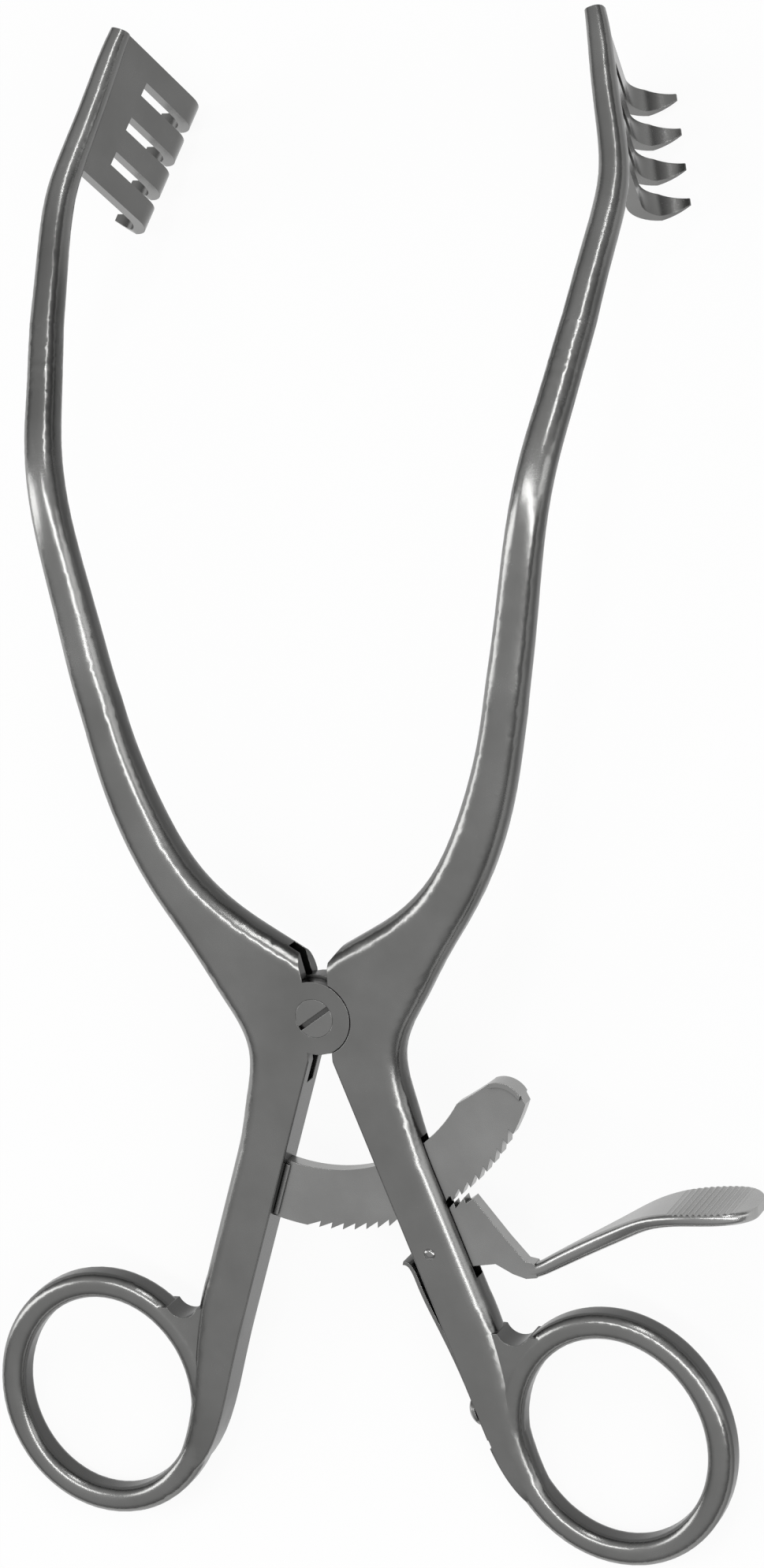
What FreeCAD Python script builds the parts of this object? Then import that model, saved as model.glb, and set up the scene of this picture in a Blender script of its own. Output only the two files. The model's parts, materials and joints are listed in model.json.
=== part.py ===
import FreeCAD, Part
import math
import os
import Sketcher
from FreeCAD import Placement, Rotation, Vector

# Self retaining retractor, millimetres.
# Every piece is drawn in the plane of the handles: X to the right, Y from the finger rings
# towards the claws, Z towards the face that carries the screw head, with the pivot at the origin.
# The two halves mirror each other about a middle plane beside the pivot, so the places of their
# features are given as "out" from that plane, "along" Y and "depth" behind the joint.
# The finished pieces share one placement that rests the instrument on its rings and claws.

doc = FreeCAD.newDocument("retractor")
sheet = doc.addObject("Spreadsheet::Sheet", "sizes")

SIZES = [
    # name, value, meaning
    ("mid_plane", 0.35, "distance of the middle plane of the two halves from the pivot"),
    ("joint_thickness", 5.2, "thickness of the forged halves at the joint and shanks"),
    ("outer_round", 2.15, "rounding of the outer edges and of the arms"),
    ("inner_round", 0.3, "rounding of the inner edges below the joint"),
    ("round_share", 0.42, "largest share of a narrow section that its rounding may take"),
    # Shanks: a straight bar on each side.
    ("shank_width", 6.8, "width of a shank"),
    ("shank_slope", 19.0, "lean of a shank from the middle plane, degrees"),
    ("shank_inset", 1.7, "inner edge of a shank at its top, from the middle plane"),
    ("shank_top", 6.0, "top of the straight shank, below the pivot"),
    # Finger rings.
    ("ring_out", 35.7, "ring centre from the middle plane"),
    ("ring_below", 54.9, "ring centre below the pivot"),
    ("ring_half_width", 13.95, "half width of the ring's middle line"),
    ("ring_half_length", 15.5, "half length of the ring's middle line"),
    ("ring_lean", 9.9, "lean of the ring's long axis, degrees"),
    ("ring_wall", 3.5, "width of the ring's wall seen from the front"),
    ("ring_depth", 4.4, "thickness of the ring's wall from front to back"),
    ("ring_round", 1.4, "rounding of the ring's wall"),
    ("lever_round", 1.15, "rounding of the thumb arm"),
    ("web_depth", 4.0, "thickness of the web between shank and ring"),
    ("web_hollow", 2.3, "radius of the hollow between shank and ring"),
    # Joint: the left half ends in two round lobes, the right half in a tongue between them.
    ("lobe_radius", 4.85, "radius of the round lobes of the left half"),
    ("tongue_thickness", 1.8, "thickness of the middle tongue of the right half"),
    ("tongue_radius", 7.6, "radius of the tongue"),
    ("joint_gap", 0.06, "play on each side of the tongue"),
    ("lobe_gap", 0.14, "play round the lobes"),
    ("slot_radius", 9.6, "radius of the cutter that made the slot of the left half"),
    ("screw_head_radius", 2.52, "head of the pivot screw"),
    ("screw_head_depth", 1.2, "thickness of the screw head"),
    ("screw_radius", 1.75, "plain neck of the pivot screw"),
    ("screw_gap", 0.03, "play round the screw"),
    ("driver_slot_width", 0.62, "slot in a screw head"),
    ("driver_slot_depth", 0.55, "depth of that slot"),
    ("driver_slot_turn", 35.0, "direction of the pivot screw's slot, degrees"),
    # Ratchet bar. Its angles are about the pivot, from the line straight below it.
    ("ratchet_tip_radius", 29.05, "radius of the tooth tips about the pivot"),
    ("tooth_depth", 0.85, "height of a ratchet tooth"),
    ("tooth_pitch", 3.25, "angle from tooth to tooth, degrees"),
    ("tooth_hook", 0.47, "angle by which a tooth tip overhangs its root, degrees"),
    ("tooth_gaps", 21, "number of gaps between the teeth"),
    ("first_tooth", -8.2, "angle of the first tooth, degrees"),
    ("bar_inner_radius", 20.95, "inner edge of the bar"),
    ("bar_thickness", 1.85, "thickness of the bar"),
    ("bar_end", 70.7, "angle of the free end of the bar, degrees"),
    ("bar_end_inner", 23.9, "inner corner of the free end, from the pivot"),
    ("bar_taper", 58.5, "angle where the inner edge starts to swing out to that corner, degrees"),
    ("bar_tenon", -23.5, "angle of the end of the bar inside the left shank, degrees"),
    ("bar_seat", 0.02, "play of the bar's tenon in the left shank"),
    ("rim_thickness", 2.7, "thickness of the rim at the free end, more than the slot lets through"),
    ("rim_width", 0.7, "width of that rim"),
    ("end_bulge", 0.8, "how far the rounded free end stands out from a straight cut"),
    ("bead_start", 21.5, "upper end of the bead on the bar beside the left shank, along the shank"),
    ("bead_end", 28.8, "lower end of that bead, along the shank"),
    ("bead_width", 0.6, "width of the bead"),
    ("bead_thickness", 2.5, "thickness of the bead"),
    # Slot of the right shank, lever and lever pin, placed along and across the shank.
    ("slot_gap", 0.15, "play of bar and lever in the slot of the right shank"),
    ("slot_start", 18.9, "upper end of that slot, along the shank"),
    ("slot_end", 38.4, "lower end of that slot, along the shank"),
    ("pin_along", 33.4, "lever pin, along the shank from the pivot"),
    ("pin_across", 2.5, "lever pin, across the shank from its inner edge"),
    ("pin_radius", 0.72, "radius of the lever pin"),
    ("pin_gap", 0.03, "play of the lever on its pin"),
    ("pin_seat", 0.01, "play of the pin in the shank"),
    ("pin_proud", 0.22, "how far the domed pin ends stand out"),
    ("pawl_swing", 6.0, "turn of the lever from this attitude into the teeth of the bar, degrees"),
    ("pawl_mesh", 0.35, "reach of a pawl tooth past the tooth tips of the bar when it holds"),
    ("pawl_lag", 0.8, "angle from a holding pawl tooth to its bar tooth, degrees"),
    ("pawl_gap", 12, "gap between bar teeth that the first pawl tooth falls into"),
    ("pawl_depth", 0.75, "height of a pawl tooth"),
    ("pawl_teeth", 3, "number of pawl teeth"),
    ("pawl_hook", 0.4, "angle by which a pawl tooth overhangs its root, degrees"),
    ("lever_thickness", 1.85, "thickness of the lever plate"),
    ("groove_pitch", 0.8, "distance from groove to groove on the thumb pad"),
    ("groove_radius", 0.34, "radius of a groove's cutter"),
    ("groove_depth", 0.16, "depth of a groove"),
    ("groove_count", 14, "number of grooves"),
    # Leaf spring on the inner edge of the right shank.
    ("spring_thickness", 0.5, "thickness of the leaf spring"),
    ("spring_width", 3.6, "width of the leaf spring"),
    ("spring_flat", 0.1, "depth of the flat that seats the spring"),
    ("spring_seat", 0.03, "play between spring, shank and screw head"),
    ("spring_touch", 0.06, "gap between spring and lever tail in this attitude"),
    ("spring_foot", 59.3, "foot of the spring, along the shank"),
    ("spring_screw_along", 55.6, "spring screw, along the shank"),
    ("spring_screw_head", 1.95, "head radius of the spring screw"),
    ("spring_screw_height", 1.25, "height of that head"),
    ("spring_screw_radius", 0.9, "shaft radius of the spring screw"),
    ("spring_screw_length", 3.4, "length of its shaft inside the shank"),
    # Claws.
    ("prong_count", 4, "number of prongs of a claw"),
    ("prong_pitch", 5.13, "distance from prong to prong"),
    ("prong_width", 3.2, "width of a prong"),
    ("prong_point", 0.4, "width of a prong at its point"),
    ("prong_root", 6.2, "start of the slots between the prongs, from the arm's middle line"),
    ("plate_thickness", 1.9, "thickness of the claw plate"),
    ("plate_run", 15.7, "length of the straight part of a prong from the arm's middle line"),
    ("hook_radius", 4.8, "radius of the hook, on its middle line"),
    ("hook_turn", 114.0, "turn of the hook, degrees"),
    ("hook_point", 0.19, "thickness of a prong at its point"),
    ("claw_lean", 9.2, "lean of the claw plate towards the middle, degrees"),
    ("claw_sweep", 4.5, "sweep of the prongs towards the handles, degrees"),
    ("spine_in", 4.7, "direction of the arm behind the claw: share towards the middle"),
    ("spine_up", 16.7, "direction of the arm behind the claw: share along the handles"),
    ("spine_back", 9.6, "direction of the arm behind the claw: share backwards"),
]

# Sections of a half from the finger ring to the tip. A missing width is the shank's, a missing
# thickness is the joint's. The sections of the straight shank lie on its middle line, so they
# have no "out", and their "along" counts down the shank. Those of the spine follow from the claw.
# From the low end of the shank to the middle of the arm they are the width of a flat plate.
STATIONS = [
    # name, out, along, depth, width, thickness
    ("foot", 25.9, -65.2, 0, 2.3, 3.4),
    ("heel", 21.7, -57.6, 0, 4.7, 4.9),
    ("ankle", 19.4, -48.6, 0, 6.0, None),
    ("shank_foot", None, 45.0, None, None, None),
    ("shank_low", None, 41.0, None, None, None),
    ("shank_head", None, 23.0, None, None, None),
    ("hip", 7.9, -12.5, 0, 7.4, None),
    ("waist", 6.2, -5.5, 0, 8.9, None),
    ("pivot", 6.4, 0, 0, 11.3, None),
    ("shoulder", 8.4, 5.4, 0, 12.8, None),
    ("neck", 14.0, 10.6, 0, 8.6, None),
    ("collar", 18.65, 16.3, 0, 6.9, None),
    ("arm_low", 22.35, 23.0, 0, 6.4, None),
    ("arm_rise", 25.5, 31.8, 0, 5.8, None),
    ("arm_mid", 27.45, 40.0, 0, 5.4, None),
    ("arm_fore", 29.4, 50.0, 0, 5.1, 4.95),
    ("arm_bow", 31.2, 60.0, 0, 4.8, 4.65),
    ("arm_bend", 32.4, 66.5, 0.8, 4.65, 4.4),
    ("arm_drop", 33.75, 73.5, 3.7, 4.5, 4.2),
    ("arm_slope", 35.0, 81.0, 8.45, 4.3, 4.05),
    ("arm_far", 36.3, 88.6, 13.7, 4.1, 3.9),
    ("arm_end", 37.25, 95.5, 18.6, 3.9, 3.7),
    ("wrist", 37.6, 101.8, 23.05, 3.7, 3.5),
    ("knee", 36.6, 106.6, 26.0, 3.4, 3.2),
    ("spine_mid", None, None, None, 3.1, 2.95),
    ("spine_tip", None, None, None, 2.5, 2.4),
]

# Corners of the right and left halves at the crotch, out from the middle plane and along.
RIGHT_CROTCH = [(1.95, 7.3), (3.6, 9.2)]
LEFT_CROTCH = [(1.6, 5.0), (2.3, 8.2)]

# Corners of the lever plate from its pin, from the outer end of the nose round to its inner side.
LEVER_PLATE = [
    (5.85, 7.35), (9.94, 2.07), (12.34, -0.73), (13.54, -0.93), (13.74, -2.83), (12.24, -3.03),
    (10.54, -2.53), (8.24, -1.33), (6.44, -1.63), (3.74, -2.13), (-1.26, -3.53), (-2.36, -3.03),
    (-2.76, -1.73), (-1.76, 2.37),
]

# Sections of the thumb arm of the lever, from the plate to the end of the pad.
THUMB = [
    # name, right of the pin, above the pin, thickness, width from front to back
    ("tang", 11.2, -1.0, 1.5, 1.6),
    ("tail", 13.64, -1.93, 2.0, 1.9),
    ("rise", 15.34, -1.13, 1.9, 2.0),
    ("stem", 20.94, 1.97, 2.1, 3.0),
    ("flare", 26.24, 4.87, 2.0, 5.5),
    ("palm", 29.74, 6.67, 1.8, 8.0),
    ("pad", 33.74, 7.77, 1.7, 10.0),
    ("pad_mid", 38.24, 8.27, 1.7, 10.8),
    ("pad_end", 41.24, 8.47, 1.6, 9.8),
    ("brim", 42.74, 8.47, 1.5, 7.5),
    ("lip", 43.64, 8.57, 1.3, 3.0),
]

cells = list(SIZES)
for name, *values in STATIONS:
    for part, value in zip(("out", "along", "depth", "width", "thickness"), values):
        if value is not None:
            cells.append((name + "_" + part, value, "%s of the section at the %s" % (part, name)))
for name, *values in THUMB:
    for part, value in zip(("right", "above", "thickness", "width"), values):
        cells.append((name + "_" + part, value, "%s of the lever's section at the %s" % (part, name)))
for row, (name, value, meaning) in enumerate(cells, start=1):
    sheet.set("A%d" % row, name)
    sheet.set("B%d" % row, str(value))
    sheet.set("C%d" % row, meaning)
    sheet.setAlias("B%d" % row, name)
doc.recompute()


def size(name):
    """The value of a named cell."""
    return float(getattr(sheet, name))


def cell(name):
    """The same cell as an expression."""
    return "sizes." + name


# Places.

def mirrored(side, point):
    """A point of a half, given out from the middle plane, on the left (-1) or right (1) side."""
    return Vector(size("mid_plane") + side * point.x, point.y, point.z)


def turned(side, direction):
    """A direction of a half on the left or right side."""
    return Vector(side * direction.x, direction.y, direction.z)


def shank_down():
    """Direction down a shank."""
    slope = math.radians(size("shank_slope"))
    return Vector(math.sin(slope), -math.cos(slope), 0)


def shank_out():
    """Direction across a shank, away from the middle."""
    slope = math.radians(size("shank_slope"))
    return Vector(math.cos(slope), math.sin(slope), 0)


def shank_point(along, across):
    """A place on a shank: down it from the height of the pivot, and out from its inner edge."""
    edge = Vector(size("shank_inset"), -size("shank_top"), 0).dot(shank_out())
    return shank_down() * along + shank_out() * (edge + across)


def about_pivot(radius, angle):
    """A place about the pivot, the angle in degrees from the line straight below it."""
    turn = math.radians(angle)
    return Vector(radius * math.sin(turn), -radius * math.cos(turn), 0)


def ring_point(turn, widening=0.0):
    """A place on the ring's middle line, or beside it, the turn in radians."""
    lean = math.radians(size("ring_lean"))
    wide = (size("ring_half_width") + widening) * math.cos(turn)
    long = (size("ring_half_length") + widening) * math.sin(turn)
    return Vector(
        size("ring_out") + wide * math.cos(lean) - long * math.sin(lean),
        -size("ring_below") + wide * math.sin(lean) + long * math.cos(lean),
        0,
    )


def claw_axes():
    """Directions of a claw: up the arm behind it, along a prong, out of the plate, prong to prong."""
    spine = Vector(-size("spine_in"), size("spine_up"), -size("spine_back")).normalize()
    beside = Vector(1, 0, 0) - spine * spine.x
    beside.normalize()
    behind = spine.cross(beside)
    lean = math.radians(size("claw_lean"))
    sweep = math.radians(size("claw_sweep"))
    flat = behind * math.cos(lean) - beside * math.sin(lean)
    outward = beside * math.cos(lean) + behind * math.sin(lean)
    prong = flat * math.cos(sweep) - spine * math.sin(sweep)
    row_of_prongs = spine * math.cos(sweep) + flat * math.sin(sweep)
    return spine, prong, outward, row_of_prongs


def knee_point():
    """The bend of the arm where its claw begins."""
    return Vector(size("knee_out"), size("knee_along"), -size("knee_depth"))


def station_point(name):
    """Middle of a section of a half."""
    if name.startswith("shank"):
        return shank_point(size(name + "_along"), size("shank_width") / 2)
    if name.startswith("spine"):
        length = (size("prong_count") - 1) * size("prong_pitch") + size("prong_width") / 2
        share = {"spine_mid": 0.5, "spine_tip": 1.0}[name]
        return knee_point() + claw_axes()[0] * (length * share)
    return Vector(size(name + "_out"), size(name + "_along"), -size(name + "_depth"))


# Sketches and features.

def new_body(label):
    """An empty body under its own name."""
    body = doc.addObject("PartDesign::Body", label)
    body.Label = label
    return body


def origin_item(body, role):
    """A plane or axis of a body's own origin."""
    for item in body.Origin.OriginFeatures:
        if item.Role == role:
            return item
    raise ValueError("no " + role)


def new_sketch(body, name, place=Vector(0, 0, 0), turn=Rotation()):
    """A sketch held on the body's own plane at an offset."""
    sketch = body.newObject("Sketcher::SketchObject", name)
    sketch.AttachmentSupport = [(origin_item(body, "XY_Plane"), "")]
    sketch.MapMode = "FlatFace"
    sketch.AttachmentOffset = Placement(place, turn)
    return sketch


def facing(first, second):
    """Rotation of a sketch whose own X and Y run along two square directions."""
    return Rotation(first, second, first.cross(second), "ZXY")


def drive(sketch, constraint, name, expression):
    """Name a size of a sketch and bind it to the sheet."""
    sketch.renameConstraint(constraint, name)
    sketch.setExpression("Constraints." + name, expression)


def circle_sketch(body, name, radius, expression, place=Vector(0, 0, 0), turn=Rotation()):
    """A sketch with one circle about its own origin."""
    sketch = new_sketch(body, name, place, turn)
    sketch.addGeometry(Part.Circle(Vector(0, 0, 0), Vector(0, 0, 1), radius))
    sketch.addConstraint(Sketcher.Constraint("Coincident", 0, 3, -1, 1))
    ring = sketch.addConstraint(Sketcher.Constraint("Radius", 0, radius))
    drive(sketch, ring, "radius", expression)
    return sketch


def loop_sketch(body, name, curves, place=Vector(0, 0, 0), turn=Rotation()):
    """A sketch with one closed loop of ready curves, each held in place."""
    sketch = new_sketch(body, name, place, turn)
    for curve in curves:
        index = sketch.addGeometry(curve)
        sketch.addConstraint(Sketcher.Constraint("Block", index))
    return sketch


def polygon(corners):
    """Straight edges round a list of corners."""
    return [
        Part.LineSegment(corner, corners[(index + 1) % len(corners)])
        for index, corner in enumerate(corners)
    ]


def arc(start, middle, end):
    """An arc through three points, as a sketch curve."""
    return Part.Arc(start, middle, end)


def rounded_section(body, name, place, along, width, thickness, right_round, left_round):
    """A rounded rectangle square to a path. Its width lies in the plane of the handles."""
    across = Vector(along.y, -along.x, 0).normalize()
    sketch = new_sketch(body, name, place, facing(across, along.cross(across)))
    wide = size(width) / 2
    thick = size(thickness) / 2
    share = size("round_share")
    limit = min(share * size(width), share * size(thickness))
    right = min(size(right_round), limit)
    left = min(size(left_round), limit)
    quarter = math.pi / 2
    normal = Vector(0, 0, 1)
    corners = [
        (Vector(wide - right, right - thick, 0), right),
        (Vector(wide - right, thick - right, 0), right),
        (Vector(left - wide, thick - left, 0), left),
        (Vector(left - wide, left - thick, 0), left),
    ]
    runs = [
        (Vector(left - wide, -thick, 0), Vector(wide - right, -thick, 0)),
        (Vector(wide, right - thick, 0), Vector(wide, thick - right, 0)),
        (Vector(wide - right, thick, 0), Vector(left - wide, thick, 0)),
        (Vector(-wide, thick - left, 0), Vector(-wide, left - thick, 0)),
    ]
    for turn, (run, (centre, bend)) in enumerate(zip(runs, corners), start=-1):
        sketch.addGeometry(Part.LineSegment(*run))
        circle = Part.Circle(centre, normal, bend)
        sketch.addGeometry(Part.ArcOfCircle(circle, turn * quarter, (turn + 1) * quarter))
    for edge in range(8):
        sketch.addConstraint(Sketcher.Constraint("Tangent", edge, 2, (edge + 1) % 8, 1))
    for edge, run in ((0, "Horizontal"), (2, "Vertical"), (4, "Horizontal"), (6, "Vertical")):
        sketch.addConstraint(Sketcher.Constraint(run, edge))
    sketch.addConstraint(Sketcher.Constraint("Equal", 1, 3))
    sketch.addConstraint(Sketcher.Constraint("Equal", 5, 7))
    reach = sketch.addConstraint(Sketcher.Constraint("DistanceX", -1, 1, 2, 1, wide))
    drive(sketch, reach, "reach", cell(width) + " / 2")
    rise = sketch.addConstraint(Sketcher.Constraint("DistanceY", -1, 1, 4, 1, thick))
    drive(sketch, rise, "rise", cell(thickness) + " / 2")
    for edge, side, rounding, bend in (
        (1, "right_rounding", right_round, right), (5, "left_rounding", left_round, left),
    ):
        radius = sketch.addConstraint(Sketcher.Constraint("Radius", edge, bend))
        drive(
            sketch, radius, side,
            "min(%s; %s * min(%s; %s))"
            % (cell(rounding), cell("round_share"), cell(width), cell(thickness)),
        )
    span = sketch.addConstraint(Sketcher.Constraint("DistanceX", 6, 1, 2, 2, 2 * wide))
    drive(sketch, span, "width", cell(width))
    height = sketch.addConstraint(Sketcher.Constraint("DistanceY", 0, 1, 4, 1, 2 * thick))
    drive(sketch, height, "thickness", cell(thickness))
    return sketch


def extruded(body, kind, name, sketch, length, symmetric=True, backwards=False):
    """A pad or pocket of a sketch, its length bound to the sheet."""
    feature = body.newObject("PartDesign::" + kind, name)
    feature.Profile = sketch
    feature.Type = "Length"
    feature.SideType = "Symmetric" if symmetric else "One side"
    feature.Reversed = backwards
    feature.setExpression("Length", length)
    body.Tip = feature
    sketch.Visibility = False
    return feature


def lofted(body, name, sketches):
    """A smooth solid through a row of sections."""
    feature = body.newObject("PartDesign::AdditiveLoft", name)
    feature.Profile = sketches[0]
    feature.Sections = sketches[1:]
    feature.Ruled = False
    body.Tip = feature
    return feature


def path_directions(points):
    """Direction of a path at each of its points."""
    last = len(points) - 1
    return [
        (points[min(index + 1, last)] - points[max(index - 1, 0)]).normalize()
        for index in range(len(points))
    ]


# The two halves.

def add_run(body, side, label, first, last):
    """One smooth run of a half through the sections from the first to the last named."""
    names = [station[0] for station in STATIONS]
    points = [mirrored(side, station_point(name)) for name in names]
    directions = path_directions(points)
    flat_end = names.index("shank_low")
    sketches = []
    for index in range(names.index(first), names.index(last) + 1):
        name, width, thickness = names[index], STATIONS[index][4], STATIONS[index][5]
        if name.startswith("shank"):
            directions[index] = turned(side, shank_down() * -1)
        inner_round = "inner_round" if index <= flat_end else "outer_round"
        roundings = ("outer_round", inner_round) if side > 0 else (inner_round, "outer_round")
        sketches.append(
            rounded_section(
                body, "%s_%s_%s" % (body.Label, label, name), points[index], directions[index],
                "shank_width" if width is None else name + "_width",
                "joint_thickness" if thickness is None else name + "_thickness",
                *roundings,
            )
        )
    sketches.reverse()
    lofted(body, "%s_%s" % (body.Label, label), sketches)


def smooth_line(places, start=None, end=None):
    """A smooth curve through places, with the directions of its ends where they are given."""
    curve = Part.BSplineCurve()
    if start is None:
        curve.interpolate(places)
    else:
        curve.interpolate(Points=places, InitialTangent=start, FinalTangent=end)
    return curve


def add_plate(body, side, crotch):
    """The flat forging from the shank to the middle of the arm, its outer edges well rounded."""
    names = [station[0] for station in STATIONS]
    path = names[names.index("shank_head"):names.index("arm_mid") + 1]
    points = [station_point(name) for name in path]
    directions = path_directions(points)
    directions[0] = shank_down() * -1
    before, after = station_point("arm_rise"), station_point("arm_fore")
    directions[-1] = (after - before).normalize()
    inner = []
    outer = []
    for name, point, along in zip(path, points, directions):
        width = size("shank_width") if name == "shank_head" else size(name + "_width")
        across = Vector(along.y, -along.x, 0) * (width / 2)
        inner.append(point - across)
        outer.append(point + across)
    arm = path.index("neck")
    corners = [Vector(out, along, 0) for out, along in crotch]
    rise = (inner[arm] - corners[-1]).normalize()
    foot = size("shank_low_along")
    top = Vector(size("shank_inset"), -size("shank_top"), 0)
    sharp = [shank_point(foot, size("shank_width")), shank_point(foot, 0), top] + corners
    curves = [
        Part.LineSegment(mirrored(side, start), mirrored(side, end))
        for start, end in zip(sharp, sharp[1:])
    ]
    inner_places = [mirrored(side, place) for place in [corners[-1]] + inner[arm:]]
    inner_line = smooth_line(inner_places, turned(side, rise), turned(side, directions[-1]))
    outer_places = [mirrored(side, place) for place in reversed(outer)]
    outer_line = smooth_line(
        outer_places, turned(side, directions[-1] * -1), turned(side, shank_down())
    )
    curves += [
        inner_line,
        Part.LineSegment(inner_places[-1], outer_places[0]),
        outer_line,
        Part.LineSegment(outer_places[-1], mirrored(side, sharp[0])),
    ]
    outline = loop_sketch(body, body.Label + "_plate_outline", curves)
    plate = extruded(body, "Pad", body.Label + "_plate", outline, cell("joint_thickness"))
    doc.recompute()
    rounded = (inner_line, outer_line, curves[-1])
    add_rounding(body, plate, body.Label + "_outer_edges", rounded, "outer_round")
    doc.recompute()
    add_rounding(body, body.Tip, body.Label + "_inner_edges", curves[1:2], "inner_round")


def add_rounding(body, feature, name, curves, radius):
    """Round the front and back edges of a plate that lie over curves of its outline."""
    chosen = []
    for number, edge in enumerate(feature.Shape.Edges, start=1):
        middle = edge.valueAt((edge.FirstParameter + edge.LastParameter) / 2)
        if abs(abs(middle.z) - size("joint_thickness") / 2) > 1e-4:
            continue
        foot = Part.Vertex(middle.x, middle.y, 0)
        if any(curve.toShape().distToShape(foot)[0] < 1e-4 for curve in curves):
            chosen.append("Edge%d" % number)
    rounding = body.newObject("PartDesign::Fillet", name)
    rounding.Base = (feature, chosen)
    rounding.setExpression("Radius", cell(radius))
    body.Tip = rounding


def add_ring(body, side):
    """Finger ring of rounded section, swept in two halves from its top round to its foot."""
    centre = mirrored(side, Vector(size("ring_out"), -size("ring_below"), 0))
    top = mirrored(side, ring_point(math.pi / 2))
    beside = mirrored(side, ring_point(0))
    section = rounded_section(
        body, body.Label + "_ring_section", top, (beside - centre).normalize(),
        "ring_wall", "ring_depth", "ring_round", "ring_round",
    )
    ellipse = Part.Ellipse(top, beside, centre)
    for name, start in (("outer", math.pi), ("inner", 0)):
        spine = new_sketch(body, "%s_ring_%s_line" % (body.Label, name))
        index = spine.addGeometry(Part.ArcOfEllipse(ellipse, start, start + math.pi))
        spine.addConstraint(Sketcher.Constraint("Block", index))
        ring = body.newObject("PartDesign::AdditivePipe", "%s_ring_%s" % (body.Label, name))
        ring.Profile = section
        ring.Spine = (spine, ["Edge1"])
        body.Tip = ring


def hollow_place():
    """How far down the shank the hollow circle touches both the shank and the ring."""
    radius = size("web_hollow")
    reach = size("ring_wall") / 2 + radius
    high = 30.0
    low = size("ring_below")
    for step in range(40):
        middle = (high + low) / 2
        centre = shank_point(middle, size("shank_width") + radius)
        away = min((ring_point(turn / 60) - centre).Length for turn in range(90, 200))
        if away > reach:
            high = middle
        else:
            low = middle
    return high


def add_web(body, side):
    """Web between shank and ring, hollowed where they part."""
    hollow = hollow_place()
    width = size("shank_width")
    centre = shank_point(hollow, width + size("web_hollow"))
    turns = [1.95 + 0.2 * step for step in range(7)]
    corners = [shank_point(hollow + 6, width / 2), shank_point(hollow - 1, width / 2)]
    corners += [shank_point(hollow, width - 0.3)]
    corners += [ring_point(turn) for turn in turns]
    web = loop_sketch(
        body, body.Label + "_web_outline", polygon([mirrored(side, point) for point in corners])
    )
    extruded(body, "Pad", body.Label + "_web", web, cell("web_depth"))
    hollow_circle = circle_sketch(
        body, body.Label + "_hollow_outline", size("web_hollow"), cell("web_hollow"),
        mirrored(side, centre),
    )
    extruded(body, "Pocket", body.Label + "_hollow", hollow_circle, "2 * " + cell("joint_thickness"))


def add_claw(body, side):
    """Claw plate behind the arm, bent into hooks, slotted into prongs and ground to points."""
    spine, prong, outward, upward = [turned(side, axis) for axis in claw_axes()]
    pitch = size("prong_pitch")
    gaps = size("prong_count") - 1
    root = mirrored(side, knee_point())
    middle = root + upward * (pitch * gaps / 2)
    half = size("plate_thickness") / 2
    run = size("plate_run")
    radius = size("hook_radius")
    turn = math.radians(size("hook_turn"))

    def hook(share, offset):
        """A place round the hook, beside its middle line."""
        angle = turn * share
        reach = radius + offset
        return Vector(run + reach * math.sin(angle), radius - reach * math.cos(angle), 0)

    point = size("hook_point") / 2
    waist = half - (half - point) * 0.35
    profile = [
        Part.LineSegment(Vector(-half, half, 0), Vector(-half, -half, 0)),
        Part.LineSegment(Vector(-half, -half, 0), hook(0, half)),
        arc(hook(0, half), hook(0.5, waist), hook(1, point)),
        Part.LineSegment(hook(1, point), hook(1, -point)),
        arc(hook(1, -point), hook(0.5, -waist), hook(0, -half)),
        Part.LineSegment(hook(0, -half), Vector(-half, half, 0)),
    ]
    side_view = loop_sketch(
        body, body.Label + "_claw_profile", profile, middle, facing(prong, outward)
    )
    extruded(
        body, "Pad", body.Label + "_claw", side_view,
        "(%s - 1) * %s + %s" % (cell("prong_count"), cell("prong_pitch"), cell("prong_width")),
    )
    gap = (pitch - size("prong_width")) / 2
    reach = run + 2 * radius
    slot_corners = [
        Vector(size("prong_root"), -gap, 0),
        Vector(reach, -gap, 0),
        Vector(reach, gap, 0),
        Vector(size("prong_root"), gap, 0),
    ]
    slot_place = root + upward * (pitch / 2)
    slot = loop_sketch(
        body, body.Label + "_slot_outline", polygon(slot_corners), slot_place, facing(prong, upward)
    )
    cut = extruded(body, "Pocket", body.Label + "_slot", slot, "5 * " + cell("hook_radius"))
    repeat(body, cut, slot, "2 * " + cell("prong_pitch"), gaps)
    wide = (pitch - size("prong_point")) / 2
    start = radius * (1 - math.cos(turn * 0.58))
    tip = radius * (1 - math.cos(turn)) + half
    grind_corners = [
        Vector(start, -gap, 0),
        Vector(tip, -wide, 0),
        Vector(tip, wide, 0),
        Vector(start, gap, 0),
    ]
    grind_place = root - upward * (pitch / 2) + prong * (run + radius)
    grind = loop_sketch(
        body, body.Label + "_grind_outline", polygon(grind_corners), grind_place,
        facing(outward, upward),
    )
    ground = extruded(body, "Pocket", body.Label + "_grind", grind, "2 * " + cell("hook_radius"))
    repeat(body, ground, grind, "%s * %s" % (cell("prong_count"), cell("prong_pitch")), gaps + 2)


def repeat(body, feature, sketch, length, count):
    """Repeat a cut along the upright axis of its sketch."""
    pattern = body.newObject("PartDesign::LinearPattern", feature.Label + "_row")
    pattern.Originals = [feature]
    pattern.Direction = (sketch, ["V_Axis"])
    pattern.setExpression("Length", length)
    pattern.Occurrences = int(count)
    body.Tip = pattern
    return pattern


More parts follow.
